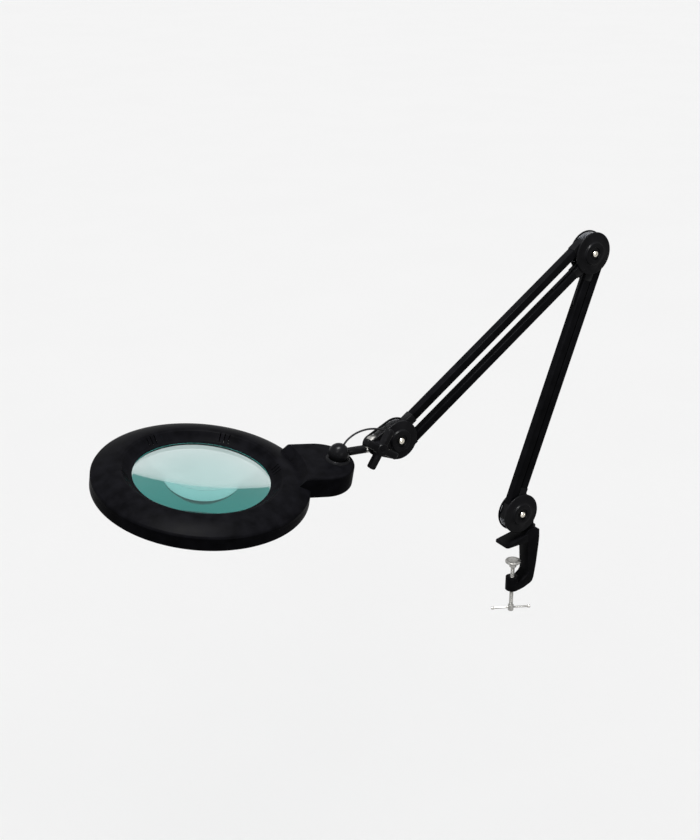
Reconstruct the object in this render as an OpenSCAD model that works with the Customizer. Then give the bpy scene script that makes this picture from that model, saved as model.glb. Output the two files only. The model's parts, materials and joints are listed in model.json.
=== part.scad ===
// Magnifying lamp on a balanced arm with a table clamp.
// Origin: on the clamp screw's axis, at the height of the table top under the upper jaw.
// +Z is up, +X points away from the lamp head, and the arms lie in the XZ plane.

/* [Arms] */
// Distance between the pivots of a lower tube (mm)
lower_length = 380; // [320:1:420]
// Distance between the pivots of an upper tube (mm)
upper_length = 365; // [320:1:420]
// Angle of the lower arm above horizontal at rest (deg)
lower_angle = 70; // [70:1:100]
// Angle of the upper arm above horizontal at rest (deg)
upper_angle = 35; // [20:1:50]
// Distance between the two pivots of one bracket (mm)
link_pitch = 32; // [31:0.5:34]
// Outside width of the square tubes (mm)
tube_size = 12; // [11:0.5:12]
// Wall thickness of the square tubes (mm)
tube_wall = 1.2; // [1:0.1:1.4]
// Radius of the tubes' rounded corners (mm)
tube_corner = 1.3; // [0.8:0.1:1.8]
// Distance from a pivot to the end of the tube (mm)
sleeve_reach = 18; // [16:1:22]

/* [Brackets] */
// Radius of the round covers at the base and the elbow (mm)
cover_r = 30.3; // [30:0.1:32]
// Radius of the wrist cover (mm)
wrist_r = 27.5; // [27:0.1:29]
// Radius of the wrist cover's tail round the tilt axis (mm)
tail_r = 12.3; // [12:0.1:14]
// Distance from the wrist's centre to the tilt axis (mm)
tail_reach = 38; // [37:0.5:42]
// Half of the width over the covers' flat faces (mm)
cover_y = 8.8; // [8.6:0.1:9.5]
// Half of the width over the covers' raised middles (mm)
boss_y = 12; // [11:0.1:12.5]
// Radius of the pivot pins (mm)
pin_r = 2.5; // [2:0.1:2.8]

/* [Clamp] */
// Height of the base bracket's centre above the table top (mm)
base_height = 47.5; // [47:0.5:60]
// Distance from the swivel axis back to the base bracket's centre (mm)
base_offset = 24; // [23:0.5:24]
// Length of the upper jaw from the swivel axis to its tip (mm)
jaw_reach = 52.8; // [50:0.2:56]
// Width of the upper jaw (mm)
jaw_width = 30; // [26:1:34]
// Width of the clamp's spine (mm)
spine_width = 22; // [20:1:26]
// Distance from the swivel axis to the clamp screw (mm)
screw_reach = 28; // [27:0.2:30]
// Radius of the clamp screw (mm)
screw_r = 3; // [2.5:0.5:3]
// Radius of the pressure pad (mm)
pad_r = 11.8; // [10:0.2:14]
// Height of the pad's face under the upper jaw at rest (mm)
pad_drop = 31.5; // [28:0.5:38]
// Length of the bar that turns the clamp screw (mm)
bar_length = 60; // [50:1:70]
// Radius of the swivel pin (mm)
swivel_r = 6; // [5:0.5:6]

/* [Knob] */
// Reach of the tilt knob's arms from its axis (mm)
knob_r = 29.5; // [24:0.5:30]
// Width of one arm of the tilt knob (mm)
knob_arm = 10.4; // [8:0.2:12]
// Turn of the tilt knob's arms at rest (deg)
knob_turn = 57; // [0:1:89]

/* [Head] */
// Outside radius of the lamp head (mm)
head_r = 141.7; // [138:0.1:150]
// Clear radius of the lens opening (mm)
lens_clear_r = 89; // [86:0.5:90]
// Radius of the ridge round the lens (mm)
crest_r = 106; // [103:0.5:108]
// Height of the ridge above the rim (mm)
crest_h = 12; // [10:0.5:13]
// Height of the rim's side wall (mm)
rim_h = 18.4; // [16:0.1:20]
// Radius of the ball on the rod (mm)
ball_r = 13.8; // [12:0.1:14]
// Distance from the lens axis to the swivel ball (mm)
ball_reach = 182.2; // [178:0.1:190]
// Half of the neck's width (mm)
neck_r = 46; // [40:0.5:50]
// Height of the neck's top above the rim (mm)
neck_top = 18; // [17:0.5:20]
// Number of light diodes
led_count = 48; // [24:6:60]

/* [Hidden] */
$fn = 64;
fit = 0.05;        // radial clearance of a running fit
open_fit = 0.10;   // radial clearance at the two pivots that close the linkages
plate_in = 6.3;    // cheek plates, half distances from the arm's plane
plate_out = 7.5;
sleeve_y = 6.2;
sleeve_r = 6.6;
spacer_r = 4.5;
bolt_r = 2.1;
entry = 56;        // distance from the elbow pivots to the leads' holes in the tubes
pivot_r = link_pitch / sqrt(2);
base_x = screw_reach - base_offset;   // the origin is on the clamp screw's axis

function dir(a) = [cos(a), sin(a)];
function arc(c, r, a0, a1, n) = [for (i = [0:n]) c + r * dir(a0 + (a1 - a0) * i / n)];

// Lower end of the clamp frame, round the screw, and the pin's socket.
foot_z = -80.5;
foot_r = 10;
socket_depth = 24;
pin_collar_r = 9;
bar_z = -112.5;
bar_r = 1.5;
bar_turn = -26;
stop_h = 4;

// Centres of the brackets in the XZ plane.
base_c = [base_x, base_height];
elbow_c = base_c + pivot_r * dir(180) + lower_length * dir(lower_angle) - pivot_r * dir(270);
upper_mid = link_pitch / 2 * dir(185);
half_pitch = link_pitch / 2 * dir(-85);
wrist_mid = [10.85, 1.32];
wrist_c = elbow_c + upper_mid - upper_length * dir(upper_angle) - wrist_mid;

base_pins = [pivot_r * dir(180), pivot_r * dir(90), [base_offset, 0]];
lower_front_p = pivot_r * dir(180);
lower_rear_p = pivot_r * dir(90);
elbow_front_p = pivot_r * dir(270);
elbow_rear_p = pivot_r * dir(0);
elbow_top_p = upper_mid - half_pitch;
elbow_bottom_p = upper_mid + half_pitch;
elbow_pins = [elbow_front_p, elbow_rear_p, elbow_top_p, elbow_bottom_p];
wrist_top_p = wrist_mid - half_pitch;
wrist_bottom_p = wrist_mid + half_pitch;

// Rod and ball, from the wrist's centre.
tilt_p = [-tail_reach, -0.6];
ball_p = [-92.5, -0.65];
rod_slope = 4.6;
rod_r = 3;
rod_sleeve_r = 5.6;
rod_sleeve_end = 40.6;
rod_end = 51;
eye_r = 11.8;
eye_y = 5.9;
tilt_bolt_r = 3;
knob_y0 = 14.3;
knob_y1 = 23.3;
knob_hub_r = 9;
insert_r = 4.2;

// The head's attitude: turned, then pitched, then rolled.
head_turn = [8.135, 5.745, -13.39];
ball_h = 27.8;

// Head interior.
skin = 2.2;
split_z = -6;
lip_z = -0.5;
lens_r = 93;
lens_edge = 4;
lens_sag = 12;
gasket_h = 0.8;
seat_r = 93.3;
seat_wall_r = 95.6;
neck_c = [158, 0];
neck_bottom = -12;
neck_start = 112;
band_r0 = 125.5;
band_z0 = 7;
band_r1 = 135.5;
window_r0 = 98;
window_r1 = 131.5;
floor_z = -rim_h + 2;
lens_top = lip_z - gasket_h;
lens_low = lens_top - lens_edge;
board_z = -7;
board_h = 1.4;
screw_ring_r = 136.2;
screw_boss_r = 3.2;
screw_angles = [30, 90, 150, 210, 270, 330];
post_ring_r = 121;
vent_angles = [0, 60, 120, 180, 240, 300];
vent_step = 3.6;   // angle between the slits of one group
vent_length = 9.6;
vent_width = 1.4;
stem_r = 6.5;
collar_r = 17;
collar_top = neck_top + 3.4;
button_x = 152;
button_r = 6;

// ---------- helpers ----------

// A drawing in the XZ plane, made solid from y0 to y1.
module flat(y0, y1) {
  translate([0, y1, 0])
    rotate([90, 0, 0])
      linear_extrude(y1 - y0)
        children();
}

// A round bar along Y.
module bar_y(p, r, y0, y1) {
  translate([p[0], y1, p[1]])
    rotate([90, 0, 0])
      cylinder(r = r, h = y1 - y0);
}

// A turned shape about Y, drawn as [radius, distance from the arm's plane].
module turned_y(side, points) {
  rotate([90 * side, 0, 0])
    rotate_extrude()
      polygon(points);
}

module at_xz(p) {
  translate([p[0], 0, p[1]])
    children();
}

// Local +X runs along an arm that starts at p.
module along(p, angle) {
  translate([p[0], 0, p[1]])
    rotate([0, -angle, 0])
      children();
}

module at_wrist() {
  at_xz(wrist_c)
    children();
}

module at_head() {
  translate([wrist_c[0] + ball_p[0], 0, wrist_c[1] + ball_p[1]])
    rotate(head_turn)
      translate([-ball_reach, 0, -ball_h])
        children();
}

function rounded(w, h, r, n) = concat(
  arc([w / 2 - r, h / 2 - r], r, 0, 90, n),
  arc([-w / 2 + r, h / 2 - r], r, 90, 180, n),
  arc([-w / 2 + r, -h / 2 + r], r, 180, 270, n),
  arc([w / 2 - r, -h / 2 + r], r, 270, 360, n)
);

// A round with a smaller round on its left, joined by their tangents.
function teardrop(r0, r1, reach) =
  let (a = 180 - acos((r0 - r1) / reach))
  concat(
    arc([0, 0], r0, -a, a, 48),
    arc([-reach, tilt_p[1]], r1, a, 360 - a, 20)
  );

// ---------- clamp ----------

module clamp_frame() {
  spine_top = 18.5;
  foot_top = -60;
  tip = jaw_width / 2;
  half = spine_width / 2;
  corner = 4;
  color("dimgray")
    translate([screw_reach, 0, 0])
      difference() {
        union() {
          intersection() {
            translate([0, 0, -1])
              linear_extrude(14)
                polygon(concat(
                  [[-12, -tip + 2], [-12, tip - 2]],
                  arc([-jaw_reach + corner, tip - corner], corner, 90, 180, 8),
                  arc([-jaw_reach + corner, -tip + corner], corner, 180, 270, 8)
                ));
            flat(-tip - 1, tip + 1)
              polygon([
                [-jaw_reach - 1, 0], [-10, 0], [-10, 12], [-15.4, 11.2],
                [-25.4, 9.2], [-47.4, 3.9], [-jaw_reach - 1, 2.6]
              ]);
          }
          intersection() {
            flat(-half - 1, half + 1)
              polygon([
                [-17.4, 0], [-11.9, 0], [-9.4, -1.1], [-8.5, -3.6], [-8.5, -17.5], [-5.5, -53.5],
                [-8.4, -58.5], [-17, -64.5], [-21.4, -66], [-28.4, -66], [-28.4, foot_z + 0.6],
                [-21.4, foot_z + 1.2], [-12.4, -77], [-2.5, -73.2], [1.8, -70.5], [4.3, -64.5],
                [7.7, -42.5], [10.7, -10.5], [11.3, 3], [10.6, 14.8], [7.6, 16.8], [3, spine_top],
                [-6.4, spine_top], [-9.9, 16.8], [-14.4, 11.3], [-17.4, 10.8]
              ]);
            translate([0, 0, foot_z])
              linear_extrude(spine_top - foot_z)
                polygon([
                  [-30, -foot_r], [-15, -half], [13, -half],
                  [13, half], [-15, half], [-30, foot_r]
                ]);
          }
          translate([-screw_reach, 0, foot_z])
            cylinder(r = foot_r, h = foot_top - foot_z);
        }
        translate([-screw_reach, 0, foot_z - 1])
          cylinder(r = screw_r + fit, h = foot_top - foot_z + 2);
        translate([0, 0, -socket_depth])
          cylinder(r = swivel_r + fit, h = 60);
      }
}

module clamp_screw() {
  tip_z = -pad_drop - 3;
  end_z = -117.5;
  color("silver")
    difference() {
      union() {
        translate([0, 0, end_z])
          cylinder(r = screw_r, h = tip_z - end_z);
        translate([0, 0, end_z])
          cylinder(r = screw_r + 1.4, h = 10);
      }
      translate([0, 0, end_z + 5])
        rotate([0, 90, bar_turn])
          cylinder(r = bar_r + fit, h = 20, center = true);
    }
}

module pressure_pad() {
  rib_count = 24;
  color("silver")
    translate([0, 0, -pad_drop])
      difference() {
        rotate_extrude()
          polygon([
            [0, -3], [screw_r + fit, -3], [screw_r + fit, -11], [5.2, -11], [5.8, -6],
            [pad_r - 1.5, -4.6], [pad_r, -3.2], [pad_r, -1.2], [pad_r - 1, 0], [0, 0]
          ]);
        for (i = [0:rib_count - 1])
          rotate([0, 0, i * 360 / rib_count])
            translate([7.2, -0.45, -0.7])
              cube([3.2, 0.9, 1]);
      }
}

module on_bar() {
  color("silver")
    translate([0, 0, bar_z])
      rotate([0, 90, bar_turn])
        children();
}

module tommy_bar() {
  on_bar()
    cylinder(r = bar_r, h = bar_length - stop_h, center = true);
}

module tommy_bar_stops() {
  on_bar()
    for (turn = [0, 180])
      rotate([turn, 0, 0])
        translate([0, 0, bar_length / 2 - stop_h])
          difference() {
            cylinder(r = 2.3, h = stop_h);
            translate([0, 0, -1])
              cylinder(r = bar_r, h = 3);
          }
}

// ---------- brackets ----------

module steel() {
  color("silver")
    children();
}

module plastic() {
  color("black")
    children();
}

module paint() {
  color("dimgray")
    children();
}

// Swivel pin with the collar that rests on the clamp.
module base_pin() {
  collar_z = 18.6;
  steel()
    difference() {
      union() {
        translate([screw_reach, 0, 1 - socket_depth])
          cylinder(r = swivel_r, h = base_height + 12.5 + socket_depth - 1);
        translate([screw_reach, 0, collar_z])
          cylinder(r = pin_collar_r, h = 1.7);
      }
      bar_y([screw_reach, base_height], pin_r, -10, 10);
    }
}

module cheek_plates(r, pins) {
  for (s = [-1, 1])
    difference() {
      bar_y([0, 0], r, s < 0 ? -plate_out : plate_in, s < 0 ? -plate_in : plate_out);
      for (p = pins)
        bar_y(p, pin_r, -10, 10);
      bar_y([0, 0], bolt_r, -10, 10);
    }
  difference() {
    bar_y([0, 0], spacer_r, -plate_in, plate_in);
    bar_y([0, 0], bolt_r, -10, 10);
  }
}

module round_cover(side, r) {
  turned_y(side, [
    [bolt_r + 0.1, plate_out], [r - 2, plate_out], [r - 2, plate_in], [r, plate_in], [r, cover_y - 0.9],
    [r - 0.9, cover_y], [18, cover_y], [16.6, cover_y + 0.8], [15.6, boss_y], [9, boss_y],
    [8.2, 10], [bolt_r + 0.1, 10]
  ]);
}

// Screw through both covers, with a domed head on the near side and a domed nut on the far side.
module centre_screw() {
  head_r0 = 4.4;
  difference() {
    union() {
      bar_y([0, 0], bolt_r, -10, 10);
      for (s = [-1, 1])
        turned_y(-s, [
          [0, 9.9], [1, 9.9], [1, 10], [head_r0, 10], [head_r0, 12],
          [3.9, 13], [2.6, 13.8], [0, 14.1]
        ]);
    }
    for (a = [45, 135])
      at_xz([0, 0])
        rotate([0, a, 0])
          translate([-2.4, -15, -0.35])
            cube([4.8, 2.2, 0.7]);
  }
}

module pivot_pins(points) {
  for (p = points)
    bar_y(p, pin_r, -plate_out, plate_out);
}

// ---------- arms ----------

module tube(length, hole_at) {
  inner = tube_size - 2 * tube_wall;
  difference() {
    translate([sleeve_reach, 0, 0])
      rotate([90, 0, 90])
        linear_extrude(length - 2 * sleeve_reach)
          polygon(rounded(tube_size, tube_size, tube_corner, 4));
    translate([sleeve_reach - 1, 0, 0])
      rotate([90, 0, 90])
        linear_extrude(length - 2 * sleeve_reach + 2)
          square(inner, center = true);
    if (hole_at > 0)
      translate([hole_at, 0, 0])
        cylinder(r = 2, h = tube_size);
  }
}

module sleeve(extra) {
  plug = tube_size - 2 * tube_wall - 0.1;
  difference() {
    union() {
      flat(-sleeve_y, sleeve_y)
        polygon(concat(
          [[sleeve_reach, -sleeve_r], [sleeve_reach, sleeve_r]],
          arc([0, 0], sleeve_r, 90, 270, 16)
        ));
      translate([sleeve_reach - 1, -plug / 2, -plug / 2])
        cube([19, plug, plug]);
    }
    bar_y([0, 0], pin_r + extra, -10, 10);
  }
}

module sleeve_pair(length, start_extra, end_extra) {
  sleeve(start_extra);
  translate([length, 0, 0])
    rotate([0, 180, 0])
      sleeve(end_extra);
}

// Closed coil between two hooks, inside a tube.
module spring(length) {
  coil_r = 4.2;
  wire_r = 0.9;
  coil_start = 60;
  coil_end = length - 120;
  hook = sleeve_reach + 18;
  translate([coil_start, 0, 0])
    rotate([0, 90, 0])
      difference() {
        cylinder(r = coil_r, h = coil_end - coil_start);
        translate([0, 0, 2])
          cylinder(r = coil_r - 2 * wire_r, h = coil_end - coil_start - 4);
      }
  translate([hook, 0, 0])
    rotate([0, 90, 0])
      cylinder(r = wire_r, h = coil_start - hook + 1);
  translate([coil_end - 1, 0, 0])
    rotate([0, 90, 0])
      cylinder(r = wire_r, h = length - hook - coil_end + 1);
}

// Two-core lead inside a tube.
module tube_wire(end_at) {
  translate([sleeve_reach + 19, 0, -2.5])
    rotate([0, 90, 0])
      cylinder(r = 1.4, h = end_at - sleeve_reach - 19);
}

module lower_front_link() {
  along(base_c + lower_front_p, lower_angle)
    children();
}

module lower_rear_link() {
  along(base_c + lower_rear_p, lower_angle)
    children();
}

module upper_top_link() {
  along(wrist_c + wrist_top_p, upper_angle)
    children();
}

module upper_bottom_link() {
  along(wrist_c + wrist_bottom_p, upper_angle)
    children();
}

module lower_tube_front() {
  lower_front_link()
    paint()
      tube(lower_length, lower_length - entry);
}

module lower_sleeves_front() {
  lower_front_link()
    plastic()
      sleeve_pair(lower_length, fit, fit);
}

module lower_wire() {
  lower_front_link()
    plastic()
      tube_wire(lower_length - entry);
}

module lower_tube_rear() {
  lower_rear_link()
    paint()
      tube(lower_length, 0);
}

module lower_sleeves_rear() {
  lower_rear_link()
    plastic()
      sleeve_pair(lower_length, fit, open_fit);
}

module lower_spring() {
  lower_rear_link()
    steel()
      spring(lower_length);
}

module upper_tube_top() {
  upper_top_link()
    paint()
      tube(upper_length, 0);
}

module upper_sleeves_top() {
  upper_top_link()
    plastic()
      sleeve_pair(upper_length, fit, fit);
}

module upper_spring() {
  upper_top_link()
    steel()
      spring(upper_length);
}

module upper_tube_bottom() {
  upper_bottom_link()
    paint()
      tube(upper_length, upper_length - entry);
}

module upper_sleeves_bottom() {
  upper_bottom_link()
    plastic()
      sleeve_pair(upper_length, open_fit, fit);
}

module upper_wire() {
  upper_bottom_link()
    plastic()
      tube_wire(upper_length - entry);
}

// ---------- wrist ----------

module wrist_plate_pair() {
  for (s = [-1, 1])
    difference() {
      flat(s < 0 ? -plate_out : plate_in, s < 0 ? -plate_in : plate_out)
        polygon(teardrop(wrist_r - 2.1, tail_r - 2.1, tail_reach));
      for (p = [wrist_top_p, wrist_bottom_p])
        bar_y(p, pin_r, -10, 10);
      bar_y([0, 0], bolt_r, -10, 10);
      bar_y(tilt_p, tilt_bolt_r, -10, 10);
    }
  difference() {
    bar_y([0, 0], spacer_r, -plate_in, plate_in);
    bar_y([0, 0], bolt_r, -10, 10);
  }
}

module wrist_cover(side) {
  y0 = side > 0 ? -cover_y : plate_in;
  difference() {
    union() {
      flat(y0, y0 + cover_y - plate_in)
        polygon(teardrop(wrist_r, tail_r, tail_reach));
      turned_y(side, [
        [0, plate_out + 0.3], [15.8, plate_out + 0.3], [15.8, cover_y + 0.8],
        [14.8, boss_y], [9, boss_y], [8.2, 10], [0, 10]
      ]);
    }
    flat(-plate_out, plate_out)
      polygon(teardrop(wrist_r - 2, tail_r - 2, tail_reach));
    bar_y([0, 0], bolt_r + 0.1, -20, 20);
    bar_y(tilt_p, tilt_bolt_r, -20, 20);
  }
}

module tilt_bolt() {
  nut_h = 4;
  color("silver")
    union() {
      bar_y(tilt_p, tilt_bolt_r, -21, cover_y + 1);
      at_xz(tilt_p)
        translate([0, cover_y + nut_h, 0])
          rotate([90, 0, 0])
            cylinder(r = 5.5, h = nut_h, $fn = 6);
    }
}

module tilt_knob() {
  color("black")
    difference() {
      union() {
        for (a = [0, 90])
          at_xz(tilt_p)
            rotate([0, -knob_turn - a, 0])
              translate([-knob_r, -knob_y1, -knob_arm / 2])
                cube([2 * knob_r, knob_y1 - knob_y0, knob_arm]);
        bar_y(tilt_p, knob_hub_r, -knob_y1 - 1, -cover_y - 0.1);
      }
      bar_y(tilt_p, insert_r, -22, 0);
    }
}

module knob_insert() {
  color("gold")
    difference() {
      bar_y(tilt_p, insert_r, -22, -cover_y - 0.1);
      bar_y(tilt_p, tilt_bolt_r + fit, -21.5, 0);
    }
}

module tilt_tongue() {
  color("silver")
    difference() {
      union() {
        bar_y(tilt_p, eye_r, -eye_y, eye_y);
        along(ball_p, -rod_slope)
          translate([rod_sleeve_end + 0.1, 0, 0])
            rotate([0, 90, 0])
              cylinder(r = 5.8, h = 13);
      }
      bar_y(tilt_p, tilt_bolt_r + fit, -10, 10);
      along(ball_p, -rod_slope)
        translate([rod_sleeve_end - 1, 0, 0])
          rotate([0, 90, 0])
            cylinder(r = rod_r + fit, h = rod_end + 1.2 - rod_sleeve_end);
    }
}

module head_rod() {
  color("silver")
    along(ball_p, -rod_slope)
      translate([4, 0, 0])
        rotate([0, 90, 0])
          cylinder(r = rod_r, h = rod_end - 4);
}

module rod_sleeve() {
  color("black")
    along(ball_p, -rod_slope)
      difference() {
        translate([ball_r - 0.8, 0, 0])
          rotate([0, 90, 0])
            cylinder(r = rod_sleeve_r, h = rod_sleeve_end - ball_r + 0.8);
        rotate([0, 90, 0])
          cylinder(r = rod_r, h = rod_end);
        sphere(ball_r);
      }
}

module swivel_ball() {
  color("black")
    difference() {
      union() {
        at_xz(ball_p)
          sphere(ball_r);
        at_xz(ball_p)
          rotate(head_turn)
            translate([0, 0, -ball_h + 8])
              cylinder(r = stem_r, h = ball_h - 13);
      }
      along(ball_p, -rod_slope)
        translate([4, 0, 0])
          rotate([0, 90, 0])
            cylinder(r = rod_r, h = 20);
      at_xz(ball_p)
        rotate(head_turn)
          translate([0, 0, -ball_h])
            cylinder(r = 2.5, h = ball_h - 6);
    }
}

module swivel_nut() {
  nut_r = 10.5;
  nut_h = 4.8;
  color("silver")
    at_xz(ball_p)
      rotate(head_turn)
        translate([0, 0, -ball_h + neck_top - skin - nut_h - 0.3])
          difference() {
            cylinder(r = nut_r, h = nut_h, $fn = 6);
            translate([0, 0, -1])
              cylinder(r = stem_r, h = nut_h + 2);
          }
}

// Circle through three points: its centre.
function middle(a, b, c) =
  let (d = 2 * (a[0] * (b[1] - c[1]) + b[0] * (c[1] - a[1]) + c[0] * (a[1] - b[1])))
  [
    ((a * a) * (b[1] - c[1]) + (b * b) * (c[1] - a[1]) + (c * c) * (a[1] - b[1])) / d,
    ((a * a) * (c[0] - b[0]) + (b * b) * (a[0] - c[0]) + (c * c) * (b[0] - a[0])) / d
  ];

// Round lead bent along one arc from a through b to c.
module arc_lead(a, b, c, r) {
  m = middle(a, b, c);
  a0 = atan2(c[1] - m[1], c[0] - m[0]);
  a1 = atan2(a[1] - m[1], a[0] - m[0]);
  translate([m[0], 0, m[1]])
    rotate([90, 0, 0])
      rotate([0, 0, a0])
        rotate_extrude(angle = a1 - a0)
          translate([norm(a - m), 0])
            circle(r);
}

module head_cable() {
  color("black")
    at_xz(wrist_c)
      arc_lead([-82.6, 12.6], [-60, 22.9], [-24, 17.6], 1.35);
}

module elbow_cable() {
  color("black")
    at_xz(elbow_c)
      arc_lead([-10.9, -29.4], [-7.27, -19.98], [-4.5, -11.4], 1);
}

// ---------- head ----------

function crest_curve(r) = crest_h * (1 - pow((r - crest_r) / (head_r - crest_r), 1.7));

ring_outer = concat(
  [[head_r, -1.6], [head_r - 0.3, -0.5]],
  [for (i = [1:13]) let (r = head_r - (head_r - crest_r) * i / 13) [r, crest_curve(r)]],
  [
    [crest_r - 2.2, crest_h - 0.5], [crest_r - 4, crest_h - 2.4], [crest_r - 9, 5.2],
    [lens_clear_r + 4, 2.6], [lens_clear_r, 1.7]
  ]
);

module ring_body(z0) {
  rotate_extrude($fn = 128)
    polygon(concat([[lens_clear_r, z0], [head_r, z0]], ring_outer));
}

module neck_plan(inset) {
  r = neck_r - inset;
  polygon(concat([[neck_start, -r], [neck_c[0], -r]], arc(neck_c, r, -90, 90, 28), [[neck_start, r]]));
}

// Space in front of the neck's slope, round the lens axis.
module band_space(grow) {
  rotate_extrude($fn = 128)
    polygon([
      [0, -20], [band_r0 + grow, -20], [band_r0 + grow, band_z0],
      [band_r1 + grow, neck_top], [band_r1 + grow, neck_top + 5], [0, neck_top + 5]
    ]);
}

module neck_solid(z0, z1, inset, grow) {
  difference() {
    translate([0, 0, z0])
      linear_extrude(z1 - z0)
        neck_plan(inset);
    band_space(grow);
  }
}

module head_upper_housing() {
  inner = concat(
    [[seat_wall_r, split_z - 1], [head_r - skin, split_z - 1], [head_r - skin, -2.6]],
    [for (i = [2:12]) let (r = head_r - (head_r - crest_r) * i / 13) [r - 0.6, crest_curve(r) - skin]],
    [[crest_r - 2, crest_h - 2.6], [crest_r - 5.5, crest_h - 5.2], [seat_wall_r + 0.8, 2.4], [seat_wall_r, 2]]
  );
  color("black")
    difference() {
      union() {
        difference() {
          union() {
            ring_body(split_z);
            neck_solid(split_z, neck_top, 0, 0);
          }
          rotate_extrude($fn = 128)
            polygon(inner);
          neck_solid(split_z - 1, neck_top - skin, skin, skin + 1);
        }
        for (a = screw_angles)
          rotate([0, 0, a])
            translate([screw_ring_r, 0, split_z])
              cylinder(r = screw_boss_r, h = 7);
        for (a = vent_angles)
          rotate([0, 0, a + 30])
            translate([post_ring_r, 0, board_z])
              cylinder(r = 2.5, h = 15);
      }
      for (a = screw_angles)
        rotate([0, 0, a])
          translate([screw_ring_r, 0, split_z - 1])
            cylinder(r = 1.4, h = 6);
      translate([0, 0, -20])
        cylinder(r = seat_r, h = 20 + lip_z);
      for (a = vent_angles)
        for (k = [-1, 0, 1])
          rotate([0, 0, a + vent_step * k])
            translate([crest_r - 2.2 - vent_length, -vent_width / 2, 0])
              cube([vent_length, vent_width, crest_h + 0.5]);
      translate([ball_reach, 0, 0])
        cylinder(r = stem_r + fit, h = 30);
      translate([ball_reach, 0, ball_h])
        sphere(ball_r + 0.3);
    }
}

module head_lower_housing() {
  color("black")
    difference() {
      union() {
        difference() {
          union() {
            rotate_extrude($fn = 128)
              polygon([
                [window_r1, -rim_h], [head_r - 2, -rim_h], [head_r - 0.6, -rim_h + 0.6],
                [head_r, -rim_h + 2], [head_r, split_z], [window_r1, split_z]
              ]);
            neck_solid(neck_bottom, split_z, 0, 8);
          }
          rotate_extrude($fn = 128)
            polygon([[100, floor_z], [head_r - skin, floor_z], [head_r - skin, 0], [100, 0]]);
          neck_solid(neck_bottom + skin, 0, skin, skin + 1);
        }
        for (a = screw_angles)
          rotate([0, 0, a])
            translate([screw_ring_r, 0, floor_z - 1])
              cylinder(r = screw_boss_r, h = split_z - floor_z + 1);
        translate([button_x, 0, neck_bottom])
          cylinder(r = button_r + 2.8, h = 3.8);
      }
      for (a = screw_angles)
        rotate([0, 0, a])
          translate([screw_ring_r, 0, floor_z - 3]) {
            cylinder(r = 1.6, h = 20);
            cylinder(r = 2.85, h = 3.4);
          }
      translate([button_x, 0, -20])
        cylinder(r = button_r + 0.08, h = 20);
      translate([button_x, 0, neck_bottom + 1.3])
        cylinder(r = button_r + 1.08, h = 20);
    }
}

module swivel_collar() {
  color("black")
    translate([ball_reach, 0, 0])
      difference() {
        rotate_extrude()
          polygon([
            [11, neck_top], [collar_r, neck_top], [collar_r - 0.6, neck_top + 1.2],
            [14.6, collar_top], [11, collar_top]
          ]);
        translate([0, 0, ball_h])
          sphere(ball_r + 0.3);
      }
}

module lens() {
  curve = (lens_clear_r * lens_clear_r + lens_sag * lens_sag) / (2 * lens_sag);
  half = asin(lens_clear_r / curve);
  color("lightblue")
    rotate_extrude($fn = 128)
      polygon(concat(
        [[lens_r, lens_low], [lens_r, lens_top]],
        arc([0, lens_top + lens_sag - curve], curve, 90 - half, 90, 18),
        arc([0, lens_low - lens_sag + curve], curve, -90, -90 + half, 18)
      ));
}

module lens_gasket() {
  color("black")
    translate([0, 0, lens_top])
      difference() {
        cylinder(r = lens_r - 0.2, h = gasket_h);
        translate([0, 0, -1])
          cylinder(r = lens_clear_r + 0.6, h = 3);
      }
}

// Bezel under the lens: it holds the lens up in its seat and carries the diffuser's inner edge.
module lens_ring() {
  r0 = lens_clear_r + 0.6;
  wall = 2.2;
  shoulder = split_z - 0.05;
  color("black")
    rotate_extrude($fn = 128)
      polygon([
        [r0, -rim_h + 0.8], [r0 + 0.8, -rim_h], [window_r0, -rim_h], [window_r0, floor_z],
        [r0 + wall, floor_z], [r0 + wall, shoulder - 1.4], [seat_wall_r, shoulder - 1.4],
        [seat_wall_r, shoulder], [lens_r, shoulder], [lens_r, lens_low], [r0, lens_low]
      ]);
}

module led_board() {
  color("white")
    translate([0, 0, board_z - board_h])
      difference() {
        cylinder(r = window_r1 - 1, h = board_h);
        translate([0, 0, -1])
          cylinder(r = window_r0 - 1, h = 4);
      }
}

module leds() {
  color("lightyellow")
    for (i = [0:led_count - 1])
      rotate([0, 0, i * 360 / led_count])
        translate([(window_r0 + window_r1) / 2 - 1.75, -1.4, board_z - board_h - 1.2])
          cube([3.5, 2.8, 1.2]);
}

module diffuser() {
  color("white")
    rotate_extrude($fn = 128)
      polygon([
        [window_r0 + 0.1, -rim_h + 0.3], [window_r1 - 0.1, -rim_h + 0.3], [window_r1 - 0.1, floor_z],
        [window_r1 + 1.2, floor_z], [window_r1 + 1.2, floor_z + 1.2],
        [window_r0 - 1.6, floor_z + 1.2], [window_r0 - 1.6, floor_z], [window_r0 + 0.1, floor_z]
      ]);
}

module driver_board() {
  color("green")
    union() {
      translate([143, -24, -5.4])
        cube([44, 48, 1.6]);
      translate([160, -19, -3.9])
        cube([10, 8, 7]);
      translate([150, 8, -3.9])
        cube([13, 11, 9]);
      translate([168, 14, -3.9])
        cylinder(r = 4, h = 9);
    }
}

module board_wires() {
  color("red")
    for (s = [-1, 1])
      translate([127, 4 * s, -2])
        rotate([0, 90, 0])
          cylinder(r = 0.8, h = 20, $fn = 24);
}

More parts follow.
